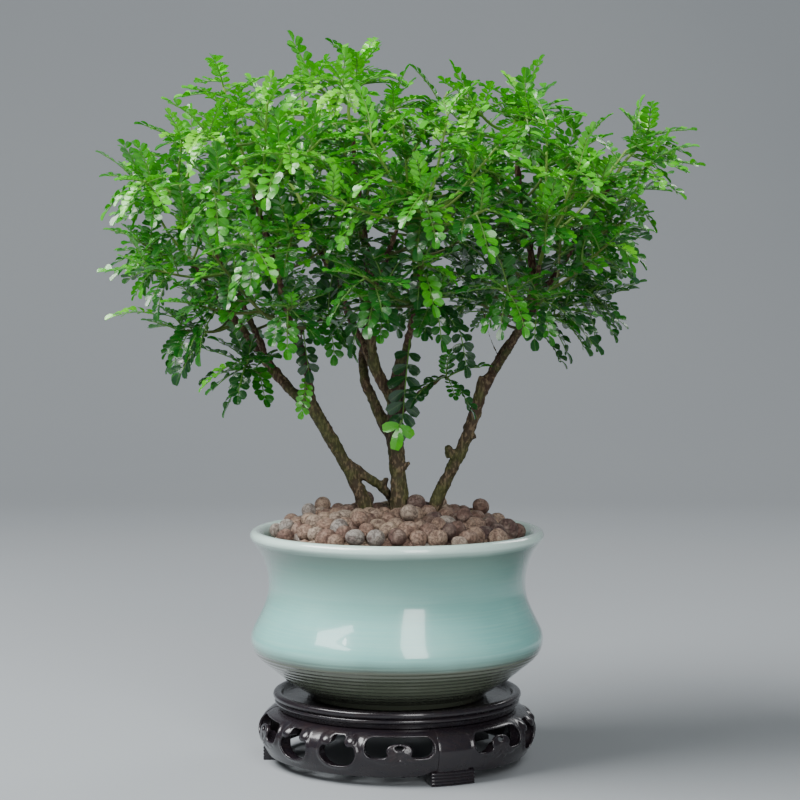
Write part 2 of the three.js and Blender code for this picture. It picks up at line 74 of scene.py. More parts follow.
def edit(piece, *steps):
    """Runs edit mode operators, each with its settings, on the whole of one piece."""
    only(piece)
    bpy.ops.object.mode_set(mode="EDIT")
    for step, settings in steps:
        bpy.ops.mesh.select_all(action="SELECT")
        step(**settings)
    bpy.ops.object.mode_set(mode="OBJECT")


def turned(name, profile, sides, start=0, sweep=360):
    """A closed profile of (radius, height), spun about Z from start through sweep degrees."""
    bpy.ops.object.select_all(action="DESELECT")
    fill = "NOTHING" if sweep == 360 else "NGON"
    bpy.ops.mesh.primitive_circle_add(vertices=len(profile), fill_type=fill)
    piece = bpy.context.object
    piece.name = piece.data.name = name
    across = Vector((math.cos(math.radians(start)), math.sin(math.radians(start)), 0))
    for vertex, (radius, height) in zip(piece.data.vertices, profile):
        vertex.co = (radius * across + Vector((0, 0, height))) * MM
    turn = {"center": (0, 0, 0), "axis": (0, 0, -1), "angle": math.radians(sweep)}
    edit(
        piece,
        (bpy.ops.mesh.spin, {"steps": sides, **turn}),
        (bpy.ops.mesh.remove_doubles, {"threshold": WELD}),
        (bpy.ops.mesh.delete_loose, {}),
        (bpy.ops.mesh.normals_make_consistent, {"inside": False}),
    )
    return piece


def shaded(piece, degrees):
    """Smooth shading, but for edges that turn by more than these degrees."""
    only(piece)
    bpy.ops.object.shade_smooth_by_angle(angle=math.radians(degrees))


def modified(piece, kind, **settings):
    """Adds one modifier to a piece and applies it."""
    bpy.context.view_layer.objects.active = piece
    modifier = piece.modifiers.new(kind.title(), kind)
    for key, value in settings.items():
        setattr(modifier, key, value)
    bpy.ops.object.modifier_apply(modifier=modifier.name)


class Field:
    """A value that varies over a surface. A sum or product of fields adds its own nodes."""

    def __init__(self, socket):
        self.socket = socket

    def node(self, kind, inputs, output=0, stops=(), **settings):
        """One output of a new node, from its inputs, a ramp's stops and its settings."""
        made = self.socket.id_data.nodes.new("ShaderNode" + kind)
        for key, value in settings.items():
            setattr(made, key, value)
        for i, (place, colour) in enumerate(stops):
            elements = made.color_ramp.elements
            element = elements[-1] if i == len(stops) - 1 else elements[0]
            if 0 < i < len(stops) - 1:
                element = elements.new(place)
            element.position = place
            element.color = (*colour, 1)
        for key, value in inputs.items():
            if isinstance(value, Field):
                self.socket.id_data.links.new(value.socket, made.inputs[key])
            else:
                made.inputs[key].default_value = value
        return Field(made.outputs[output])

    def math(self, operation, *others):
        return self.node("Math", dict(enumerate((self, *others))), operation=operation)

    def __add__(self, other):
        return self.math("ADD", other)

    def __sub__(self, other):
        return self.math("SUBTRACT", other)

    def __rsub__(self, other):
        return self.node("Math", {0: other, 1: self}, operation="SUBTRACT")

    def __mul__(self, other):
        return self.math("MULTIPLY", other)

    __radd__ = __add__
    __rmul__ = __mul__

    def ramp(self, low, high):
        """0 where this is at or below low, 1 at or above high."""
        return self.node("MapRange", {0: self, 1: low, 2: high})

    def noise(self, scale, detail=3):
        """Noise from 0 to 1, its features 1 / scale metres wide; one scale, or one an axis."""
        sizes = (1, 1, 1) if np.isscalar(scale) else scale
        scale = scale if np.isscalar(scale) else 1
        stretched = self.node("Mapping", {"Vector": self, "Scale": sizes})
        return stretched.node("TexNoise", {"Vector": stretched, "Scale": scale, "Detail": detail})

    def mix(self, first, second):
        """The first colour where this is 0, the second where it is 1."""
        colours = [c if isinstance(c, Field) else (*c, 1) for c in (first, second)]
        inputs = {0: self, 6: colours[0], 7: colours[1]}
        return self.node("Mix", inputs, output=2, data_type="RGBA")

    def bump(self, depth, strength=1.0):
        """A normal for this height, which is depth mm where it is 1."""
        return self.node("Bump", {"Height": self, "Distance": depth * MM, "Strength": strength})

    def part(self, axis):
        """One coordinate of a place, in mm."""
        return self.node("SeparateXYZ", {0: self}, output="XYZ".index(axis)) * (1 / MM)


class Finish:
    """A material with one main shader, some of whose sockets are the same all over."""

    def __init__(self, name, **constants):
        self.material = bpy.data.materials.new(name)
        self.material.use_nodes = True
        self.tree = self.material.node_tree
        self.shader = self.tree.nodes["Principled BSDF"]
        for socket, value in constants.items():
            self.shader.inputs[socket.replace("_", " ")].default_value = value
        self.place = Field(self.tree.nodes.new("ShaderNodeTexCoord").outputs["Object"])

    def read(self, mark):
        """A value that is stored on the points of the piece's mesh."""
        return self.place.node("Attribute", {}, output="Fac", attribute_name=mark)

    def set(self, **fields):
        for socket, field in fields.items():
            self.tree.links.new(field.socket, self.shader.inputs[socket.replace("_", " ")])


def dark_wood():
    """Dark plum-brown wood with a fine grain, and redder patches where it is worn."""
    finish = Finish("polished_dark_wood", Coat_Weight=0.4, Coat_Roughness=0.08, IOR=1.45)
    grain = finish.place.noise((60, 700, 420), 4)
    worn = finish.place.noise(70)
    colour = grain.ramp(0.35, 0.7).mix((0.011, 0.009, 0.013), (0.019, 0.013, 0.015))
    finish.set(
        Base_Color=(worn.ramp(0.6, 0.8) * 0.5).mix(colour, (0.026, 0.012, 0.011)),
        Roughness=0.2 + 0.14 * worn,
        Normal=(grain * 0.5 + finish.place.noise(900) * 0.25).bump(0.06, 0.5),
    )
    return finish.material


wood = dark_wood()
STAND_TOP = [
    (0, 36.3), (79, 36.3), (80.3, 36.7), (80.6, 38.4), (80.9, 39.4), (82, 39.7), (83, 40.2),
    (83.5, 41), (83.5, 41.8), (83, 42.6), (82.3, 42.9), (82, 43.2), (82.4, 43.5), (83.6, 43.8),
    (84.3, 44.5), (84.5, 45.4), (84.4, 46.4), (83.9, 47.3), (83, 47.9), (81.8, 48.1),
    (80.2, 48), (79.2, 47.5), (78.5, 46.4), (78.1, 45.1), (77.4, 44.4), (76, 44.1), (60, 44.05),
    (0, 44),
]
stand_top = turned("turned_stand_top", STAND_TOP, 160)
stand_top.data.materials.append(wood)
shaded(stand_top, 50)
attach(stand_top, "root")
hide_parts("stand_top")


# The three feet: square posts of the same wood between the aprons, following their bulge.
# Each spreads a little at the floor, where four fine ridges are cut round it.

FOOT_ANGLES = (-66, 54, 174)
POST_SWEEP, PAD_SWEEP = 14.2, 19.4  # degrees that each takes up round the stand
PROUD = 0.4  # how far the posts stand out from the aprons
RIDGES = 4
RIDGE_PITCH = 2.1
RIDGE = ((90.6, 0), (91.2, 0.5), (91.4, 1), (91.1, 1.6), (90.6, 1.8))  # (radius, depth)
BULGE = [
    (80.9, 36.2), (83.6, 35.6), (86.2, 34.3), (89.2, 32), (92.3, 28), (93.7, 23), (93.3, 18),
    (91.7, 13), (89.7, 9), (88.4, 6.2),
]


def foot_profiles():
    """The closed (radius, height) profiles of a foot's post and of the pad under it."""
    face = [(radius + PROUD, height) for radius, height in smoothed(BULGE, 2)]
    post = [*face, (89.2, 3), (89.2, 2), (78, 2), (78, 20), (77, 36.2)]
    ridges = []
    for i in range(RIDGES):
        top = 9.3 - RIDGE_PITCH * i
        ridges += [(radius, top - depth) for radius, depth in RIDGE]
    pad = [(88.6, 9.9), *ridges, (91.4, 0.9), (91.2, 0.25), (90.8, 0), (76.5, 0), (76.5, 9.9)]
    return post, pad


post_profile, pad_profile = foot_profiles()
for i, angle in enumerate(FOOT_ANGLES):
    start = angle - POST_SWEEP / 2
    foot = turned(f"carved_foot_{i + 1}", post_profile, 12, start, POST_SWEEP)
    pad = turned("pad", pad_profile, 14, angle - PAD_SWEEP / 2, PAD_SWEEP)
    modified(foot, "BOOLEAN", operation="UNION", solver="EXACT", object=pad)
    bpy.data.objects.remove(pad)
    modified(foot, "BEVEL", width=0.35 * MM, segments=2, limit_method="ANGLE", angle_limit=1.0)
    foot.data.materials.clear()
    foot.data.materials.append(wood)
    shaded(foot, 40)
    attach(foot, "root")
    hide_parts(f"stand_leg_{i + 1}")


# The three aprons: bowed panels of the same wood, pierced with two long openings, whose
# lower edge rises to a scroll, and two narrow-necked ones. A raised bead edges each opening.

APRON_DEPTH = 8
ARC_RADIUS = 93  # where lengths along an apron are measured
HALF_APRON = 53.3 * math.pi / 180 * ARC_RADIUS
LONG_MIDDLE, ROUND_MIDDLE = 60, 18.2  # from the apron's middle to that of each opening
BEAD_RADIUS, CURL_RADIUS, KNOB_RADIUS = 1.05, 1.0, 3.7
KNOB_OUT, KNOB_HEIGHT = 9.4, 30.4  # where a knob flanks the neck of a round opening


def mirrored(half):
    """An outline from the points of its right half, first and last on the middle line."""
    return half + [(-x, y) for x, y in reversed(half[1:-1])]


def long_outline(side):
    half = [
        (0, 33.7), (12, 33.7), (19, 33.4), (22, 31.6), (23.5, 28), (23.2, 23.5), (20.5, 20),
        (16, 19), (10.5, 19), (8.4, 19.8), (6.6, 21.6), (4, 23.6), (0, 24.4),
    ]
    return [(side * LONG_MIDDLE + x, y) for x, y in mirrored(half)]


def round_outline(side):
    half = [
        (0, 33.7), (4.2, 33.6), (5.4, 32.4), (5.5, 30.2), (6.3, 28), (8.4, 27), (10.8, 27.2),
        (12.6, 26), (13.5, 22.6), (12.9, 18.6), (9.9, 14.6), (5, 12.6), (0, 12.2),
    ]
    return [(side * ROUND_MIDDLE + x, y) for x, y in mirrored(half)]


def scroll(side):
    """Two curls that meet over the middle of a long opening's lower edge, and a leaf below."""
    lines = []
    for turn in (-1, 1):
        curl = []  # it winds inwards through 1.3 turns
        for t in np.linspace(0, 1, 22):
            angle = math.pi * (0.5 - 2.6 * t)
            radius = 3.6 * (1 - 0.72 * t)
            curl.append((turn * (4.5 + radius * math.cos(angle)), 24.2 + radius * math.sin(angle)))
        lines.append([(turn * 0.4, 28.6), (turn * 2.2, 28.4)] + curl)
        lines.append([(turn * 15, 18.2), (turn * 11, 17), (turn * 6.5, 17.6), (turn * 2, 21)])
    lines.append([(-5.5, 15.2), (-2, 16.6), (0, 18), (2, 16.6), (5.5, 15.2)])
    return [[(side * LONG_MIDDLE + x, y) for x, y in line] for line in lines]


def as_mesh(curve):
    """A piece whose mesh is made from a curve."""
    made = bpy.data.objects.new(curve.name, curve)
    bpy.context.collection.objects.link(made)
    only(made)
    bpy.ops.object.convert(target="MESH")
    return bpy.context.object


def curve_piece(lines, closed, **settings):
    """A mesh made from one curve of several lines, in mm on the XY plane."""
    curve = bpy.data.curves.new("outline", "CURVE")
    for key, value in settings.items():
        setattr(curve, key, value)
    for line in lines:
        spline = curve.splines.new("POLY")
        spline.points.add(len(line) - 1)
        spline.use_cyclic_u = closed
        for point, (x, y) in zip(spline.points, line):
            point.co = (x * MM, y * MM, 0, 1)
    return as_mesh(curve)


def join(pieces):
    only(pieces[0])
    for piece in pieces:
        piece.select_set(True)
    bpy.ops.object.join()
    return bpy.context.object


def flat_apron():
    """One apron before it is bowed, its outer face on z = 0 and its inner one behind."""
    side = HALF_APRON
    # The lower edge rises a little towards each foot.
    edge = [(side, 36.2), (side, 9.6), (side - 4, 9.4), (side - 9, 7.4), (side - 18, 6.3), (0, 6.2)]
    rim = edge + [(-x, y) for x, y in reversed(edge[:-1])]
    outlines = [make(end) for make in (long_outline, round_outline) for end in (-1, 1)]
    openings = [smoothed(outline, 5, True) for outline in outlines]
    half_depth = APRON_DEPTH / 2 * MM
    filled = {"dimensions": "2D", "fill_mode": "BOTH"}
    panel = curve_piece([rim, *openings], True, extrude=half_depth, **filled)
    panel.data.transform(Matrix.Translation((0, 0, half_depth)))
    round_bar = {"dimensions": "3D", "bevel_resolution": 3, "use_fill_caps": True}
    beads = curve_piece(openings, True, bevel_depth=BEAD_RADIUS * MM, **round_bar)
    curls = [smoothed(line, 4) for end in (-1, 1) for line in scroll(end)]
    curls = curve_piece(curls, False, bevel_depth=CURL_RADIUS * MM, **round_bar)
    knobs = []
    for x in (-ROUND_MIDDLE, ROUND_MIDDLE):
        for step in (-KNOB_OUT, KNOB_OUT):
            size = {"segments": 20, "ring_count": 12, "radius": KNOB_RADIUS * MM}
            bpy.ops.mesh.primitive_uv_sphere_add(**size)
            knob = bpy.context.object
            knob.data.transform(Matrix.Diagonal((1, 0.95, 0.62, 1)))
            place = Vector((x + step, KNOB_HEIGHT, -0.1)) * MM
            knob.data.transform(Matrix.Translation(place))
            knobs.append(knob)
    made = join([panel, beads, curls, *knobs])
    edit(made, (bpy.ops.mesh.remove_doubles, {"threshold": 0.002 * MM}))
    modified(made, "REMESH", mode="VOXEL", voxel_size=0.76 * MM)
    modified(made, "SMOOTH", factor=0.5, iterations=2)
    return made


def bowed(flat, name, middle):
    """A copy of the flat apron wrapped round the stand, its middle at the given angle."""
    piece = flat.copy()
    piece.data = flat.data.copy()
    piece.name = piece.data.name = name
    bpy.context.collection.objects.link(piece)
    co = np.empty(len(piece.data.vertices) * 3)
    piece.data.vertices.foreach_get("co", co)
    along, up, depth = co.reshape(-1, 3).T / MM
    face = smoothed(BULGE[::-1], 8)
    radius = np.interp(up, face[:, 1], face[:, 0]) - depth
    angle = math.radians(middle) - along / ARC_RADIUS
    co = np.stack([radius * np.cos(angle), radius * np.sin(angle), up], 1) * MM
    piece.data.vertices.foreach_set("co", co.ravel())
    piece.data.update()
    return piece


flat = flat_apron()
for i, angle in enumerate(FOOT_ANGLES):
    apron = bowed(flat, f"pierced_apron_{i + 1}", angle + 60)
    apron.data.materials.clear()
    apron.data.materials.append(wood)
    apron.data.shade_smooth()
    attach(apron, "root")
    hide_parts(f"stand_apron_{i + 1}")
bpy.data.objects.remove(flat)


# The pot: stoneware thrown on a wheel, with fine rings left on its lower cone, and dipped
# in a pale blue-green celadon glaze. Its colour holds painted light: a painted highlight on
# the rim, and painted shade and reflection under the rim and on the lower cone.

POT_OUTSIDE = [
    (51.5, 44.3), (59, 44.3), (60.6, 45), (62, 48), (67.5, 51.5), (76.5, 57), (86, 65.4),
    (93, 70.6), (98, 76.4), (99.9, 83.5), (98.6, 89.5), (95.2, 96), (90.9, 105), (88.2, 113),
    (87.3, 121), (88.2, 130), (90.6, 138), (94.2, 145), (98.2, 150.2), (99.9, 153),
]
POT_RIM = [
    (100, 153.8), (100, 154.8), (99.5, 156.2), (98.5, 157.3), (97, 158), (95.4, 158.1),
    (93.8, 157.5), (92.4, 156.2), (91.5, 154.6),
]
POT_INSIDE = [
    (91.2, 153.5), (88.4, 146), (84.4, 138), (81.3, 121), (84, 106), (93.2, 83.5), (88.5, 74.5),
    (58, 52.5), (7.5, 51.2), (7, 50.6), (7, 47.4), (7.5, 46.8), (49.6, 46.8), (51, 46),
]
CONE_FOOT, CONE_TOP = 48, 82
RING_DEPTH = 0.3
RING_TURN = 2.2  # radians of the rings' wave for each mm of height


def thrown(outside):
    """The outside with the potter's rings on the cone, which fade at its foot and its top."""
    line = smoothed(outside[3:], 5)
    for _ in range(10):
        line[1:-1] = (line[:-2] + 2 * line[1:-1] + line[2:]) / 4
    above = line[line[:, 1] > CONE_TOP, 1]
    height = np.concatenate([np.arange(CONE_FOOT, CONE_TOP, 0.55), above])
    radius = np.interp(height, line[:, 1], line[:, 0])
    ringed = np.clip((81 - height) / 5, 0, 1) * np.clip((height - 49) / 3, 0, 1)
    radius += RING_DEPTH * ringed * np.sin(height * RING_TURN)
    return [*outside[:3], *zip(radius, height)]


def celadon():
    """Blue-green on the belly; painted shade and reflection grey the neck and darken the cone; a
    painted highlight makes the rim pale.
    """
    finish = Finish("celadon_glaze", Coat_Weight=1, Coat_Roughness=0.02, IOR=1.5, Coat_IOR=1.45)
    height = finish.place.part("Z")
    pooled = finish.place.noise(14)
    streaks = finish.place.noise((20, 20, 900), 2)
    body = pooled.ramp(0.35, 0.65).mix((0.22, 0.54, 0.50), (0.29, 0.63, 0.57))
    body = (streaks.ramp(0.4, 0.7) * 0.3).mix(body, (0.38, 0.66, 0.57))
    low = height + 5 * pooled + 2 * streaks
    # Painted shade and reflection: the glaze greys and darkens up the neck, under the rim.
    body = (height.ramp(104, 148) * 0.85).mix(body, (0.13, 0.20, 0.16))
    # Painted shade and reflection of the dark stand darken the lower cone.
    body = low.ramp(88, 79).mix(body, (0.11, 0.125, 0.09))
    # A painted highlight: the edge of the rim is pale.
    body = low.ramp(153, 158).mix(body, (0.62, 0.82, 0.74))
    speckle = finish.place.noise(420, 2)
    body = (speckle.ramp(0.68, 0.78) * 0.25).mix(body, (0.25, 0.36, 0.30))
    finish.set(
        Base_Color=body,
        Roughness=0.12 + 0.12 * speckle,
        Normal=finish.place.noise(260, 2).bump(0.04, 0.25),
    )
    return finish.material


pot = turned("celadon_pot", [*thrown(POT_OUTSIDE), *POT_RIM, *POT_INSIDE], 144)
pot.data.materials.append(celadon())
shaded(pot, 60)
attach(pot, "root")
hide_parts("pot")


# The soil: dark potting mix that fills the pot to a little below its rim. It stays as the
# solid that the frame has, since the clay balls hide all of it.

def potting_mix():
    finish = Finish("potting_mix", Roughness=0.95)
    grit = finish.place.noise(240, 5)
    finish.set(
        Base_Color=grit.ramp(0.3, 0.7).mix((0.012, 0.008, 0.006), (0.05, 0.032, 0.022)),
        Normal=grit.bump(1.0),
    )
    return finish.material


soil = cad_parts["soil"]
soil.data.materials.clear()
soil.data.materials.append(potting_mix())


# The clay balls: fired clay pellets, rolled and a little uneven, heaped over the soil in a
# low mound. They lie two deep, and the lower ones close the gaps between those on top.

BED_RADIUS = 88.5
BED_EDGE, BED_RISE = 161.5, 15  # height of the mound at the pot's wall, and its rise
SOIL_RADIUS = 87.6
BALL_PITCH, ROW_PITCH = 13.4, 0.866  # the rows' pitch is a share of the balls'
BALL_SHIFT = 1.7  # at most, from a ball's even place
LAYER_DROP = 7.5
TOP_BALLS = [
    (-52, 34), (-22, 46), (30, 52), (58, 28), (-60, -8), (44, -38), (-24, -56), (8, -46),
]
TRUNK_FEET = {(2, 0): 8.6, (-21, 4): 7.4, (-3, 11): 4.4, (25, 2): 6.6}  # (x, y): radius
BALL_KINDS = 6


def ball_blanks(cuts):
    """Uneven balls of radius 1, from a cube with this many cuts across each side."""
    blanks = []
    for seed in range(BALL_KINDS):
        bpy.ops.object.select_all(action="DESELECT")
        bpy.ops.mesh.primitive_cube_add(size=2)
        ball = bpy.context.object
        edit(ball, (bpy.ops.mesh.subdivide, {"number_cuts": cuts}))
        points = np.array([vertex.co.normalized() for vertex in ball.data.vertices])
        draws = np.random.default_rng(seed)
        for _ in range(5):
            way = draws.normal(size=3)
            lump = np.clip(points @ (way / np.linalg.norm(way)), 0, 1) ** 2
            points = points * (1 + draws.uniform(-0.16, 0.09) * lump)[:, None]
        points = points * (1, draws.uniform(0.88, 1.05), draws.uniform(0.84, 0.98))
        blanks.append((points, [list(face.vertices) for face in ball.data.polygons]))
        bpy.data.objects.remove(ball)
    return blanks


def gathered(name, parts, marks):
    """One mesh from (points in mm, faces, values) parts; marks names the values of a point."""
    points, faces, values = [], [], []
    count = 0
    for part_points, part_faces, part_values in parts:
        points.append(part_points)
        faces += [[count + i for i in face] for face in part_faces]
        values.append(np.broadcast_to(part_values, (len(part_points), len(marks))))
        count += len(part_points)
    mesh = bpy.data.meshes.new(name)
    mesh.from_pydata(np.vstack(points) * MM, [], faces)
    for mark, column in zip(marks, np.vstack(values).T):
        mesh.attributes.new(mark, "FLOAT", "POINT").data.foreach_set("value", column.copy())
    piece = bpy.data.objects.new(name, mesh)
    bpy.context.collection.objects.link(piece)
    return piece


def mound(x, y):
    """The height of the bed's surface."""
    return BED_EDGE + BED_RISE * (1 - (x * x + y * y) / SOIL_RADIUS**2)


def bed_places(draws):
    """(centre, radius, fine) of each ball: the top layer is fine, the lower one is plain."""
    places = []
    for layer in (0, 1):
        for row in range(-9, 10):
            for column in range(-9, 10):
                x = BALL_PITCH * (column + row / 2 + layer / 2)
                y = BALL_PITCH * ROW_PITCH * row + 3.8 * layer
                x += draws.uniform(-BALL_SHIFT, BALL_SHIFT)
                y += draws.uniform(-BALL_SHIFT, BALL_SHIFT)
                radius = draws.uniform(6.0, 8.1) if layer == 0 else 7
                if math.hypot(x, y) > BED_RADIUS - radius - 0.5 * layer:
                    continue
                drop = radius + draws.uniform(-1.4, 1.6) + LAYER_DROP * layer
                places.append(((x, y, mound(x, y) - drop), radius, layer == 0))
    for x, y in TOP_BALLS:
        places.append(((x, y, mound(x, y) + 1.5), draws.uniform(5.6, 6.6), True))
    return places


def fired_clay():
    """From dark red to pale buff by the ball, with dusty and burnt patches, and fine creases
    darkened with painted shade.
    """
    finish = Finish("fired_clay", IOR=1.4)
    tint = finish.read("tint")
    stops = (
        (0.0, (0.095, 0.060, 0.056)), (0.25, (0.19, 0.115, 0.09)), (0.5, (0.31, 0.20, 0.145)),
        (0.75, (0.43, 0.32, 0.235)), (1.0, (0.34, 0.31, 0.28)),
    )
    colour = tint.node("ValToRGB", {0: tint}, stops=stops)
    patches = finish.place.noise(170, 5)
    grain = finish.place.noise(1300, 4)
    wrinkles = finish.place.noise(420, 4)
    creases = (wrinkles - 0.5).math("ABSOLUTE").ramp(0.05, 0.0)
    colour = (patches.ramp(0.48, 0.66) * 0.45).mix(colour, (0.40, 0.31, 0.25))
    colour = ((1 - patches).ramp(0.52, 0.68) * 0.6).mix(colour, (0.10, 0.052, 0.045))
    # Painted shade darkens the creases.
    colour = (creases * 0.5).mix(colour, (0.05, 0.028, 0.022))
    finish.set(
        Base_Color=colour,
        Roughness=0.62 + 0.25 * grain,
        Normal=(patches * 0.8 + grain * 0.35 - creases * 0.5).bump(1.3, 0.9),
    )
    return finish.material


bed_draws = np.random.default_rng(41)
fine_balls, plain_balls = ball_blanks(3), ball_blanks(1)
ball_parts = []
for centre, radius, fine in bed_places(bed_draws):
    blank, faces = (fine_balls if fine else plain_balls)[bed_draws.integers(BALL_KINDS)]
    turn = Matrix.Rotation(bed_draws.uniform(0, 6.28), 3, bed_draws.normal(size=3))
    # Painted light and shade: balls are drawn lighter on the left and darker on the right.
    tint = np.clip(bed_draws.normal(0.5 - 0.003 * centre[0], 0.24), 0, 1)
    near = min(math.dist(centre[:2], foot) - wide for foot, wide in TRUNK_FEET.items())
    if near > radius * 0.75 or centre[2] < 160:  # the lowest may pass under a trunk's foot
        ball_parts.append((blank @ np.array(turn).T * radius + centre, faces, [tint]))
dark_red_ball = (fine_balls[2][0] * 7 + (13.4, -7.5, 176.5), fine_balls[2][1], [0.12])
clay_balls = gathered("fired_clay_balls", [*ball_parts, dark_red_ball], ["tint"])
clay_balls.data.materials.append(fired_clay())
clay_balls.data.shade_smooth()
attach(clay_balls, "root")
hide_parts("clay_balls")


# The stems: three slender trunks of one plant with their limbs. The bark is knobbly, green
# with moss low down and reddish brown higher up, with cut stubs where limbs were pruned.

# The limbs of each stem, as (x, y, z, radius) stations.
STEMS = {
    "left": {
        "trunk": [
            (-17, 5, 132, 5.6), (-21, 4, 170, 5.5), (-31, 2, 194, 4.3), (-46, -2, 222, 4.5),
            (-58, -5, 243, 4.7), (-60, -6, 250, 4),
        ],
        "foot": [
            (-2, 12, 140, 3.2), (-2, 11.5, 172, 3.2), (-5, 10, 179, 3.1), (-12, 7, 187, 3.1),
            (-21, 4, 193, 3), (-34, 0, 204, 3),
        ],
        "long": [
            (-55, -4, 238, 4.2), (-76, 8, 256, 3.6), (-96, 24, 279, 3.2), (-122, 40, 312, 2.6),
            (-143, 48, 338, 2),
        ],
        "upright": [
            (-58, -5, 241, 3.6), (-61, -18, 270, 2.8), (-71, -32, 300, 2.5),
            (-80, -42, 335, 2.2), (-94, -44, 385, 1.7),
        ],
        "middle": [
            (-86, 16, 267, 2.8), (-100, 4, 300, 2.3), (-118, -8, 338, 2), (-138, -10, 368, 1.6),
        ],
    },
    "centre": {
        "trunk": [
            (3, 0, 132, 7.2), (2, 0, 170, 7), (1, 0, 192, 5.7), (-1, 0, 216, 5.8),
            (-1, 0, 240, 5.6), (1, 1, 262, 5.2), (3, 2, 271, 4.6),
        ],
        "upright": [
            (-1, 0, 243, 4.4), (-13, -3, 264, 4), (-17, -8, 285, 3.2), (-15, -12, 320, 2.8),
            (-24, -14, 370, 2.2), (-30, -10, 425, 1.6),
        ],
        "back_left": [
            (-12, -3, 262, 3.6), (-28, 10, 292, 3), (-42, 28, 325, 2.6), (-56, 55, 352, 2.1),
            (-66, 78, 375, 1.7),
        ],
        "back": [
            (-2, 0, 216, 4), (-14, 9, 240, 3.9), (-23, 20, 264, 3.3), (-20, 48, 300, 2.7),
            (-6, 78, 345, 2.1), (4, 98, 372, 1.7),
        ],
        "front": [(1, 0, 262, 3.2), (8, -20, 290, 2.7), (14, -48, 322, 2.3), (16, -84, 350, 1.8)],
        "low": [(1, 0, 236, 2.4), (13, -7, 248, 2.1), (26, -16, 259, 1.8)],
    },
    "right": {
        "trunk": [
            (20, 3, 132, 5.2), (25, 2, 170, 5), (35, 2, 194, 4.2), (46, 1, 217, 4.3),
            (56, 0, 248, 4.3), (58, 0, 258, 4),
        ],
        "upright": [
            (56, 0, 248, 4), (73, 4, 279, 3.3), (88, 8, 301, 2.9), (92, 10, 335, 2.5),
            (84, 8, 385, 2), (80, 4, 412, 1.6),
        ],
        "outer": [(86, 7, 296, 2.8), (108, 10, 332, 2.4), (133, 12, 372, 2.1), (148, 12, 396, 1.7)],
        "back": [(78, 5, 285, 2.8), (90, 32, 308, 2.4), (98, 66, 332, 2), (102, 88, 350, 1.6)],
        "front": [
            (64, 2, 262, 2.9), (78, -26, 288, 2.4), (88, -58, 318, 2), (92, -80, 340, 1.6),
        ],
    },
}

# Pruned stubs, knots and fine bare twigs, as short tubes.
STUBS = {
    "left": [
        [(-9, 8, 184, 2.4), (-7.5, 6, 192, 1.9)],
        [(-41, -2, 214, 3.4), (-46, -7, 219, 1.6)],
        [(-25, 3, 182, 3.6), (-30.5, 0, 187, 1.6)],
        [(-58, -6, 246, 4.4), (-61.5, -5, 253.5, 3.6)],
        [(-57, -12, 262, 1.2), (-64, -18, 286, 0.9), (-62, -22, 300, 0.7)],
    ],
    "centre": [
        [(4, -3, 200, 3), (8.6, -5, 204, 1.4)],
        [(-3, -3, 226, 3), (-7.5, -6, 231, 1.5)],
        [(2, 2, 266, 4.8), (3.5, 2.5, 275, 4.2)],
        [(-16, -10, 300, 1.2), (-6, -20, 322, 0.9), (-2, -26, 338, 0.7)],
        [(-15, -12, 318, 1.1), (-22, -26, 340, 0.8), (-20, -34, 362, 0.6)],
    ],
    "right": [
        [(37, 1, 208, 4), (34, -2, 214, 1.8)],
        [(47, 0, 220, 4.2), (52.5, -2.5, 222, 2)],
        [(57, 0, 252, 4.2), (58.5, -0.5, 262, 3.4)],
        [(70, 3, 272, 1.2), (62, -6, 290, 0.8), (58, -12, 306, 0.6)],
        [(84, 6, 296, 1.1), (72, 2, 322, 0.8), (70, -4, 344, 0.6)],
    ],
}


def bark():
    """Flecked brown bark, redder higher up, with olive moss that thins out upwards."""
    finish = Finish("bark", IOR=1.4)
    height = finish.place.part("Z")
    moss = finish.place.noise(55, 4)
    flecks = finish.place.noise((600, 600, 240), 4)
    brown = height.ramp(215, 330).mix((0.060, 0.042, 0.024), (0.070, 0.028, 0.018))
    brown = (flecks.ramp(0.5, 0.62) * 0.75).mix(brown, (0.24, 0.17, 0.10))
    green = flecks.ramp(0.3, 0.7).mix((0.034, 0.040, 0.012), (0.12, 0.13, 0.04))
    mossy = (moss + height.ramp(330, 200) * 0.11).ramp(0.53, 0.66) * 0.8
    finish.set(
        Base_Color=mossy.mix(brown, green),
        Roughness=0.6 + 0.3 * flecks,
        Normal=(flecks * 0.8 + moss * 0.5).bump(1.6, 0.9),
    )
    return finish.material


def limb(stations, steps=6):
    """A round tube through (x, y, z, radius) stations."""
    curve = bpy.data.curves.new("limb", "CURVE")
    curve.dimensions = "3D"
    curve.bevel_depth = MM
    curve.bevel_resolution = 3
    curve.use_fill_caps = True
    spline = curve.splines.new("POLY")
    line = smoothed(stations, steps)
    spline.points.add(len(line) - 1)
    for point, (x, y, z, radius) in zip(spline.points, line):
        point.co = (x * MM, y * MM, z * MM, 1)
        point.radius = radius
    return as_mesh(curve)


def knobbly(piece, size, height):
    """Raises knobs of this size and height, in mm, all over a piece."""
    texture = bpy.data.textures.new("knobs", "CLOUDS")
    texture.noise_scale = size * MM
    modified(piece, "DISPLACE", texture=texture, strength=height * MM, texture_coords="LOCAL")
    bpy.data.textures.remove(texture)


bark_finish = bark()
for name, stem in STEMS.items():
    limbs = [limb(stations) for stations in stem.values()]
    piece = join(limbs + [limb(stations, 3) for stations in STUBS[name]])
    piece.name = piece.data.name = f"knobbly_stem_{name}"
    modified(piece, "REMESH", mode="VOXEL", voxel_size=1.0 * MM)
    modified(piece, "SMOOTH", factor=0.5, iterations=2)
    knobbly(piece, 7, 2.4)
    knobbly(piece, 2.4, 1.1)
    piece.data.materials.clear()
    piece.data.materials.append(bark_finish)
    piece.data.shade_smooth()
    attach(piece, "root")
    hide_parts(f"stem_{name}")


# The leafy shoots: a green twig with compound leaves set round it in a spiral, closest at
# its tip. Each leaf is a thin rib with glossy leaflets in pairs and one more at its end.

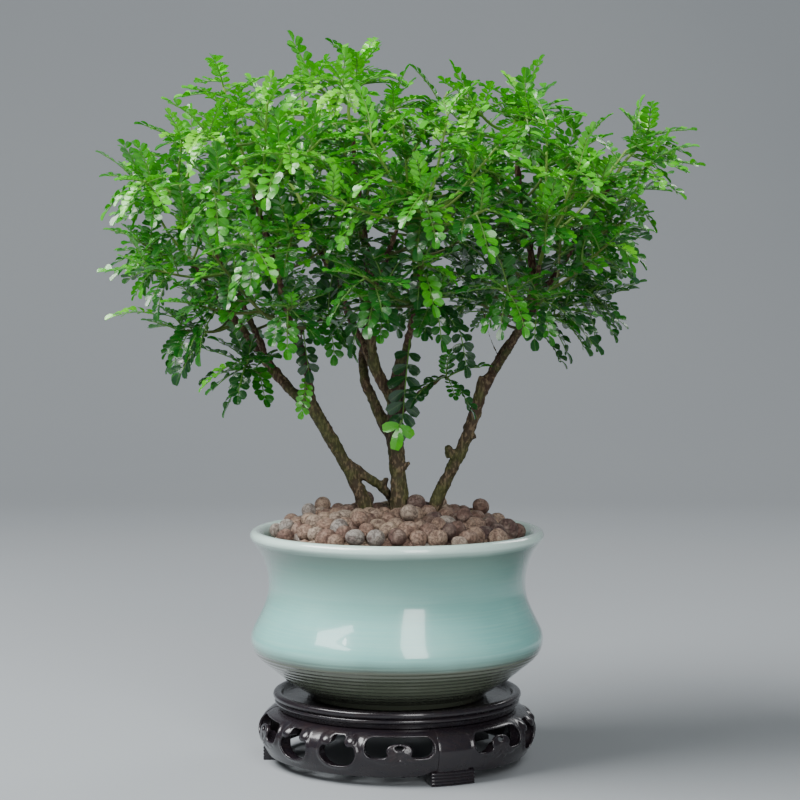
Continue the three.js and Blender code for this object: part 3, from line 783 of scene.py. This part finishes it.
UP = np.array((0.0, 0.0, 1.0))
GOLDEN_ANGLE = 2.39996
FOLD = 0.22  # radians that each half of a leaf is raised about its rib
LEAFLET_FOLD, LEAFLET_THICKNESS, LEAFLET_CURL = 0.13, 0.15, 0.016
LEAFLET_RINGS = [(0.96, 0.62), (0.74, 1.0), (0.42, 0.94), (0.12, 0.45)]  # (along, width)
RIB_RADII = (0.62, 0.3)
MARKS = ["tint", "across", "along", "wood"]  # values that each point carries


def leaflet_blank():
    """A flattened ball with one fold: (along, across, height, face) of each point."""
    bpy.ops.object.select_all(action="DESELECT")
    rings = len(LEAFLET_RINGS) + 1
    bpy.ops.mesh.primitive_uv_sphere_add(segments=4, ring_count=rings, radius=1)
    ball = bpy.context.object
    points = []
    for vertex in ball.data.vertices:
        x, y, z = vertex.co
        step = round(math.acos(max(-1, min(1, z))) / (math.pi / rings))
        along, wide = ((0.93, 0), *LEAFLET_RINGS, (0, 0))[step]
        ring = max(math.hypot(x, y), 0.1)
        side, face = round(x / ring), round(y / ring)
        points.append((along, side * wide, LEAFLET_FOLD * abs(side) * wide, face))
    faces = [list(polygon.vertices) for polygon in ball.data.polygons]
    bpy.data.objects.remove(ball)
    return np.array(points), faces


def tube(line, radii, sides):
    """The points and faces of a closed tube along a line."""
    points = []
    side = np.array((0.0, 1.0, 0.0))
    for i, (place, radius) in enumerate(zip(line, radii)):
        along = line[min(i + 1, len(line) - 1)] - line[max(i - 1, 0)]
        along = along / np.linalg.norm(along)
        side = side - side @ along * along
        side /= np.linalg.norm(side)
        other = np.cross(along, side)
        for k in range(sides):
            a = math.tau * k / sides
            points.append(place + radius * (side * math.cos(a) + other * math.sin(a)))
    faces = [list(range(sides))[::-1], [len(points) - sides + k for k in range(sides)]]
    for i in range(len(line) - 1):
        for k in range(sides):
            a, b = i * sides + k, i * sides + (k + 1) % sides
            faces.append([a, b, b + sides, a + sides])
    return np.array(points), faces


leaflet_points, leaflet_faces = leaflet_blank()


def compound_leaf(pairs, stalk, pitch, length, width, seed):
    """Points (u along the rib, v across, h above), faces and marks of one whole leaf.

    The stalk's length, the pitch of the pairs and a leaflet's length and width are in mm.
    """
    draws = np.random.default_rng(seed)
    end = stalk + pitch * pairs - 0.3 * pitch
    leaflets = [(end - 0.5, 0, draws.uniform(-0.15, 0.15), 1.08)]
    for i in range(pairs):
        size = (0.74, 0.9, 1.0)[min(i, 2)] if i < pairs - 1 else 0.94
        for side in (-1, 1):
            turn = side * draws.uniform(0.98, 1.22) * (1 - 0.28 * i / pairs)
            leaflets.append((stalk + pitch * (i + draws.uniform(-0.07, 0.07)), side, turn, size))
    points, faces, marks = [], [], []
    along, across, lift, face = leaflet_points.T
    for base, side, turn, size in leaflets:
        out = along * length * size * draws.uniform(0.93, 1.06)
        cross = across * width / 2 * size
        rise, roll = draws.uniform(-0.22, 0.38), draws.uniform(-0.45, 0.45)
        h = lift * width * size + LEAFLET_THICKNESS * face + out * rise
        h = h - LEAFLET_CURL * out**2 + cross * roll
        u = base + out * math.cos(turn) - cross * math.sin(turn)
        v = side * 0.3 + out * math.sin(turn) + cross * math.cos(turn)
        faces += [[len(points) * len(along) + i for i in f] for f in leaflet_faces]
        points.append(np.stack([u, v, h], 1))
        marks.append(np.stack([across, along, np.zeros(len(along))], 1))
    line = np.array([(u, 0, 0) for u in np.linspace(-1, end, 6)])
    rib, rib_faces = tube(line, np.linspace(*RIB_RADII, 6), 4)
    count = sum(map(len, points))
    faces += [[count + i for i in f] for f in rib_faces]
    marks.append(np.tile((0.0, 0.5, 0.35), (len(rib), 1)))
    return np.vstack([*points, rib]), faces, np.vstack(marks)


YOUNG = [
    compound_leaf(6, 2.5, 3.9, 5.8, 3.9, 1),
    compound_leaf(5, 2.5, 4.1, 6.2, 4.2, 2),
]
GROWN = [
    compound_leaf(6, 3.5, 4.8, 7.2, 4.8, 3),
    compound_leaf(5, 4, 5.5, 8.0, 5.5, 4),
    compound_leaf(5, 4, 5.2, 7.8, 5.1, 5),
]
OLD = [
    compound_leaf(4, 5, 6.8, 10.0, 6.6, 6),
    compound_leaf(5, 5, 6.2, 9.4, 6.1, 7),
]


def laid_leaf(leaf, start, along, face, bend, size, tint):
    """A leaf arched along its rib from its start, as a part to be gathered."""
    points, faces, marks = leaf
    u, v, h = points.T * size
    swing = bend * u
    across = np.cross(face, along)
    normal = np.outer(np.cos(swing), face) + np.outer(np.sin(swing), along)
    spread = np.outer(np.sin(swing) / bend, along) - np.outer((1 - np.cos(swing)) / bend, face)
    raised = np.abs(v) * math.sin(FOLD) + h
    placed = start + spread + np.outer(v * math.cos(FOLD), across) + normal * raised[:, None]
    tints = np.full((len(points), 1), tint)
    return placed, faces, np.hstack([tints, marks])


def draw(a, b):
    """A number from 0 to 1 that looks random and is the same for the same a and b."""
    wave = math.sin(a * 12.9898 + b * 78.233) * 43758.5453
    return wave - math.floor(wave)


def between(low, high, a, b):
    return low + (high - low) * draw(a, b)


def point_on(stations, share):
    """The point at this share of a limb's length."""
    points = np.array(stations, float)[:, :3]
    lengths = np.concatenate([[0], np.cumsum(np.linalg.norm(np.diff(points, axis=0), axis=1))])
    return np.array([np.interp(share * lengths[-1], lengths, points[:, k]) for k in range(3)])


def twig_line(stem, limb_name, share, tip):
    """Root, bend and tip of a shoot's twig, as the solids have them."""
    stations = STEMS[stem][limb_name]
    tip = np.array(tip, float)
    root = point_on(stations, share)
    reach = np.linalg.norm(tip - root)
    if share == 1:
        along = root - point_on(stations, 0.95)
        along /= np.linalg.norm(along)
        return root - 2 * along, root + 0.4 * reach * along, tip
    return root, root + 0.4 * (tip - root) - 0.1 * reach * UP, tip


def leaf_frame(twig, shoot, j, turn, back):
    """Start, direction, upper face and bend of leaf j, back of the way from tip to bend."""
    _, bend_point, tip = twig
    axis = (tip - bend_point) / np.linalg.norm(tip - bend_point)
    across = np.cross(UP, axis)
    if np.linalg.norm(across) < 0.2:
        across = np.array((1.0, 0, 0))
    across /= np.linalg.norm(across)
    angle = j * GOLDEN_ANGLE + turn
    out = across * math.cos(angle) + np.cross(axis, across) * math.sin(angle)
    lean = 0.45 if j == 0 else between(0.85, 1.15, shoot, j + 10)
    along = axis * math.cos(lean) + out * math.sin(lean)
    along /= np.linalg.norm(along)
    face = UP - UP @ along * along
    if np.linalg.norm(face) < 0.35:
        face = face - axis + along * (axis @ along)
    start = tip + back * (bend_point - tip)
    bend = between(0.5, 1.1, shoot, j + 20) / 44  # radians for each mm
    return start, along, face / np.linalg.norm(face), bend


def light_on(place):
    """0 low and deep in the crown, 1 on its top: painted shade and light in the colour of what
    grows there.
    """
    x, y, z = place
    # How far out it is, of a crown 180, 150 and 130 mm wide, deep and high from its middle.
    outer = math.dist((x / 180, y / 150, z / 130), (0.1, 0, 2.65))
    return float(np.clip(0.56 * (z - 262) / 200 + 0.46 * outer - 0.13, 0, 1))


CLEARED = {(31, 1): -0.17}  # a leaf that its solid turns clear of its neighbour
MAIN_TWIG, SMALL_TWIG, TWIG_END = 1.6, 1.2, 0.7  # radii


def leafy_shoot(twig, shoot, leaves, thick):
    """The parts of one shoot: its twig and its leaves, younger towards the tip."""
    root, bend_point, tip = twig
    line = smoothed([root, bend_point, tip], 4)
    points, faces = tube(line, np.linspace(thick, TWIG_END, len(line)), 6)
    lit = light_on(tip)
    parts = [(points, faces, (lit, 0, 0, 1))]
    for j in range(leaves):
        turn = between(0, 6.28, shoot, 3) + CLEARED.get((shoot, j), 0)
        back = 0.02 + 0.28 * j if j < 3 else 0.05 + 0.95 * (j - 3) / (leaves - 2)
        start, along, face, bend = leaf_frame(twig, shoot, j, turn, back)
        youth = between(0, 1, shoot, j + 60) + (0.35 if j in (0, 3) else 0) + 0.3 * lit
        kind = YOUNG if youth > 0.95 else GROWN if youth > 0.3 or lit > 0.55 else OLD
        leaf = kind[int(draw(shoot, j + 70) * len(kind))]
        size = between(0.86, 1.06, shoot, j + 80) * (0.92 if back < 0.05 else 1)
        # A leaf's tint is mostly painted light and shade, from where it sits in the crown, and
        # partly its youth.
        tint = 0.12 + 0.62 * lit + 0.3 * (youth - 0.7) + between(-0.12, 0.12, shoot, j + 90)
        parts.append(laid_leaf(leaf, start, along, face, bend, size, tint))
    return parts


def leaf_green():
    """Glossy leaflets with a pale midrib, letting some light through, and painted light and shade;
    green to brown twigs.
    """
    finish = Finish("pepper_leaf", IOR=1.5, Coat_Roughness=0.1)
    tint, across, along, wood = (finish.read(mark) for mark in MARKS)
    mottle = finish.place.noise(120)
    edge = across.math("ABSOLUTE")
    rib = wood.ramp(0.1, 0.3)
    # From near black, painted shade deep in the crown, to bright yellow-green, painted light on its
    # top.
    stops = (
        (0.0, (0.004, 0.024, 0.016)), (0.25, (0.008, 0.066, 0.018)), (0.45, (0.024, 0.21, 0.010)),
        (0.66, (0.090, 0.54, 0.010)), (1.0, (0.28, 0.86, 0.025)),
    )
    mottled = tint + (mottle - 0.5) * 0.35
    blade = mottled.node("ValToRGB", {0: mottled}, stops=stops)
    veins = (along * 60 - edge * 9).math("SINE")
    blade = (veins.ramp(0.5, 1) * 0.1).mix(blade, (0.20, 0.42, 0.10))
    blade = (edge.ramp(0.1, 0.02) * 0.3).mix(blade, (0.26, 0.46, 0.12))
    # The twigs go brown deep in the crown and green on its top, by the value that paints light and
    # shade on the leaves.
    twig = tint.ramp(0.35, 0.8).mix((0.10, 0.055, 0.03), (0.22, 0.36, 0.06))
    leaf = rib.mix(blade, (0.15, 0.30, 0.05))
    finish.set(
        Base_Color=wood.ramp(0.6, 0.9).mix(leaf, twig),
        Roughness=0.16 + 0.18 * mottle + rib * 0.3,
        Coat_Weight=0.9 - rib * 0.9,
        Normal=(veins * 0.35 + mottle * 0.3).bump(0.2, 0.4),
    )
    glow = tint.node("BsdfTranslucent", {"Color": (0.20, 0.74, 0.02, 1)})
    glossy = Field(finish.shader.outputs[0])
    both = tint.node("MixShader", {0: 0.3, 1: glossy, 2: glow})
    surface = finish.tree.nodes["Material Output"].inputs["Surface"]
    finish.tree.links.new(both.socket, surface)
    return finish.material


# The main shoots: stem, limb, how far along it they start, and where their tip is.
SHOOTS = [
    ("left", "middle", 1, (-178, -8, 396)), ("left", "long", 1, (-172, 52, 346)),
    ("left", "long", 0.62, (-150, 20, 292)), ("left", "long", 0.3, (-104, -22, 272)),
    ("left", "upright", 1, (-116, -30, 460)), ("centre", "upright", 1, (-22, 0, 474)),
    ("centre", "upright", 0.72, (34, 14, 453)), ("right", "upright", 1, (84, -4, 448)),
    ("right", "outer", 1, (172, 12, 424)), ("right", "outer", 0.6, (150, -22, 366)),
    ("right", "outer", 0.2, (138, 16, 314)), ("centre", "low", 1, (34, -30, 262)),
    ("left", "upright", 0.62, (-64, -104, 366)), ("centre", "front", 1, (16, -146, 384)),
    ("right", "front", 1, (94, -116, 372)), ("left", "upright", 0.4, (-118, -82, 344)),
    ("centre", "front", 0.6, (4, -70, 428)), ("centre", "back_left", 1, (-78, 116, 390)),
    ("centre", "back", 1, (6, 146, 396)), ("right", "back", 1, (92, 122, 384)),
    ("left", "long", 0.8, (-122, 98, 336)), ("right", "back", 0.55, (140, 86, 352)),
    ("centre", "back_left", 0.6, (-66, 44, 456)), ("right", "upright", 0.66, (56, 66, 428)),
    ("right", "upright", 0.8, (122, -44, 416)), ("centre", "front", 0.6, (26, -92, 318)),
    ("centre", "back_left", 0.8, (-122, 76, 430)), ("left", "upright", 0.9, (-82, -97, 440)),
    ("right", "back", 0.75, (47, 118, 326)), ("left", "upright", 0.4, (-41, -59, 307)),
    ("right", "front", 0.5, (113, -41, 308)), ("centre", "back_left", 0.95, (-45, 101, 452)),
    ("right", "front", 0.75, (136, -82, 352)),
]

leaf_finish = leaf_green()


def finished_greenery(name, parts):
    piece = gathered(name, parts, MARKS)
    piece.data.materials.append(leaf_finish)
    shaded(piece, 24)
    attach(piece, "root")
    return piece


twigs = [twig_line(*shoot) for shoot in SHOOTS]
for i, twig in enumerate(twigs):
    leaves = 5 if SHOOTS[i][1] == "low" else 14
    parts = leafy_shoot(twig, i, leaves, MAIN_TWIG)
    piece = finished_greenery(f"leafy_shoot_{i + 1:02d}", parts)
    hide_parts(f"spray_{i + 1:02d}")


# The rest of the crown: more shoots of the same kind fill it out between the main ones.
# They are gathered by the limb that they grow from.

# The crown's upper and lower edge from the front, as (x, lowest tip, highest tip).
CROWN = np.array([
    (-185, 352, 392), (-160, 312, 442), (-125, 300, 456), (-70, 292, 462), (-30, 304, 474),
    (20, 306, 456), (60, 300, 448), (110, 300, 438), (150, 322, 412), (178, 372, 418),
])
CROWN_HALF_DEPTH = 148
CROWN_MIDDLE = 376  # the height that it narrows to at the front and back
SMALL_SHOOTS = 112
TRIES = 60  # places drawn for each tip, of which the one with most room is kept
TWIG_REACH = 34


def crown_tips(count):
    """Evenly spread places for shoots' tips, none close to one of the main shoots' tips."""
    draws = np.random.default_rng(7)
    tips = [np.array(shoot[3], float) for shoot in SHOOTS]
    main = len(tips)
    for _ in range(count):
        best, room = None, -1
        for _ in range(TRIES):
            y = draws.uniform(-1, 1) * CROWN_HALF_DEPTH
            shrink = math.sqrt(1 - (y / (CROWN_HALF_DEPTH * 1.12)) ** 2)
            x = draws.uniform(-186, 180)
            across = x / shrink
            if not CROWN[0, 0] < across < CROWN[-1, 0]:
                continue
            low, high = (np.interp(across, CROWN[:, 0], CROWN[:, k]) for k in (1, 2))
            squeeze = 0.35 + 0.65 * shrink
            low, high = (CROWN_MIDDLE + (z - CROWN_MIDDLE) * squeeze for z in (low, high))
            place = np.array((x, y, draws.uniform(low, high)))
            near = min(np.linalg.norm(place - tip) for tip in tips)
            if near > room:
                best, room = place, near
        tips.append(best)
    return tips[main:]


wood_places = []
for stem_name, stem in STEMS.items():
    for limb_name, stations in stem.items():
        if limb_name not in ("trunk", "foot"):
            for share in np.linspace(0.25, 1, 9):
                wood_places.append((point_on(stations, share), f"{stem_name}_{limb_name}"))
for (stem_name, limb_name, *_), (root, bend_point, tip) in zip(SHOOTS, twigs):
    for share in (0.4, 0.8, 1):
        wood_places.append((root + share * (bend_point - root), f"{stem_name}_{limb_name}"))

grown_from = {}
for i, tip in enumerate(crown_tips(SMALL_SHOOTS)):
    # A twig comes from wood at about this reach that isn't above its tip.
    root, limb_name = min(
        wood_places,
        key=lambda place: abs(np.linalg.norm(tip - place[0]) - TWIG_REACH)
        + 1.5 * max(0, place[0][2] - tip[2] + 8),
    )
    reach = np.linalg.norm(tip - root)
    twig = (root, root + 0.45 * (tip - root) - 0.07 * reach * UP, tip)
    leaves = 9 if light_on(tip) > 0.35 else 6
    parts = leafy_shoot(twig, 100 + i, leaves, SMALL_TWIG)
    grown_from.setdefault(limb_name, []).extend(parts)
for limb_name, parts in grown_from.items():
    finished_greenery(f"foliage_{limb_name}", parts)


# Single leaves that hang low at the front of the crown. A long one droops before the centre
# stem, with three young leaflets under it.

LONG = compound_leaf(6, 11, 7.2, 11.5, 6.4, 8)
TRIO = compound_leaf(1, 2, 2.4, 14.5, 7.4, 9)
# A leaf's tint sets the painted light and shade in its colour, along with its age.
HANGING = [  # start, direction, upper face, bend, size, tint and kind
    ((9, -21, 291), (-0.11, -0.14, -0.98), (-0.3, -0.9, 0.1), 0.002, 1.14, 0.1, LONG),
    ((2.4, -29, 233), (-0.3, -0.2, -0.95), (0.1, -0.9, -0.2), 0.01, 1, 0.66, TRIO),
    ((-128, -6, 292), (-0.62, -0.2, -0.76), (-0.5, -0.5, 0.7), 0.009, 0.98, 0.1, OLD[1]),
    ((-108, -20, 272), (-0.75, -0.3, -0.3), (-0.3, -0.3, 0.9), 0.02, 0.85, 0.72, GROWN[0]),
    ((-163, 10, 303), (-0.9, -0.2, 0.3), (0.2, -0.2, 1), 0.024, 0.95, 0.78, GROWN[1]),
    ((-170, 0, 334), (-0.97, -0.1, 0.12), (0.05, -0.2, 1), 0.014, 0.9, 0.6, GROWN[2]),
    ((-62, -30, 292), (0.12, -0.35, -0.9), (-0.1, -0.9, 0.3), 0.012, 0.85, 0.1, OLD[0]),
    ((-60, -24, 264), (-0.1, -0.3, -0.95), (0.2, -0.9, 0.3), 0.014, 0.8, 0.62, GROWN[0]),
    ((40, -40, 300), (0.2, -0.4, -0.8), (0.2, -0.8, 0.4), 0.013, 0.9, 0.2, OLD[1]),
    ((96, -20, 292), (0.6, -0.3, -0.6), (0.5, -0.3, 0.7), 0.014, 0.8, 0.2, GROWN[1]),
    ((128, -4, 320), (0.75, -0.3, -0.6), (0.5, -0.2, 0.8), 0.014, 0.9, 0.25, OLD[0]),
]
hanging_parts = []
for start, along, face, bend, size, tint, leaf in HANGING:
    along, face = np.array(along, float), np.array(face, float)
    along /= np.linalg.norm(along)
    face -= face @ along * along
    face /= np.linalg.norm(face)
    hanging_parts.append(laid_leaf(leaf, start, along, face, bend, size, tint))
finished_greenery("hanging_leaves", hanging_parts)


# Around the object: a grey floor that curves up behind it, soft lights, and the camera.

def backdrop():
    bpy.ops.object.select_all(action="DESELECT")
    bpy.ops.mesh.primitive_plane_add(size=1)
    floor = bpy.context.object
    floor.name = "plain_backdrop"
    line = [(-3.2, 0), (1.6, 0)]
    line += [(1.6 + math.sin(a), 1 - math.cos(a)) for a in np.linspace(0.1, math.pi / 2, 14)]
    line += [(2.6, 3.6)]
    faces = [[2 * i, 2 * i + 1, 2 * i + 3, 2 * i + 2] for i in range(len(line) - 1)]
    floor.data.clear_geometry()
    floor.data.from_pydata([(x, y, z) for y, z in line for x in (-4, 4)], [], faces)
    floor.data.shade_smooth()
    finish = Finish("plain_backdrop", Roughness=0.9)
    shade = finish.place.noise(1.2)
    finish.set(Base_Color=shade.mix((0.27, 0.29, 0.31), (0.31, 0.33, 0.34)))
    floor.data.materials.append(finish.material)


def soft_light(name, place, target, width, height, watts, colour=(1, 1, 1)):
    lamp = bpy.data.lights.new(name, "AREA")
    lamp.shape = "RECTANGLE"
    lamp.size, lamp.size_y, lamp.energy, lamp.color = width, height, watts, colour
    made = bpy.data.objects.new(name, lamp)
    made.location = place
    made.rotation_euler = (Vector(target) - Vector(place)).to_track_quat("-Z", "Y").to_euler()
    bpy.context.collection.objects.link(made)


backdrop()
soft_light("sky_light", (-1.1, -0.4, 1.85), (0, 0, 0.35), 1.4, 1.2, 96)
soft_light("left_window", (-1.9, -1.2, 1.66), (0, 0, 0.28), 1.4, 0.26, 11, (0.95, 0.98, 1))
soft_light("front_window", (0.62, -2.35, 1.35), (0, 0, 0.25), 0.85, 2.0, 44)
soft_light("back_light", (1.2, 1.3, 1.5), (0, 0, 0.35), 0.8, 0.8, 10)

world = bpy.data.worlds.new("room")
world.use_nodes = True
world.node_tree.nodes["Background"].inputs["Color"].default_value = (0.8, 0.87, 0.95, 1)
world.node_tree.nodes["Background"].inputs["Strength"].default_value = 0.16
bpy.context.scene.world = world

camera = bpy.data.objects.new("camera", bpy.data.cameras.new("camera"))
bpy.context.collection.objects.link(camera)
camera.data.lens, camera.data.sensor_width = 107.7, 36
camera.location = (0, -1.618, 0.353)
looking = Vector((0.002, 0, 0.2456)) - camera.location
camera.rotation_euler = looking.to_track_quat("-Z", "Y").to_euler()
bpy.context.scene.camera = camera
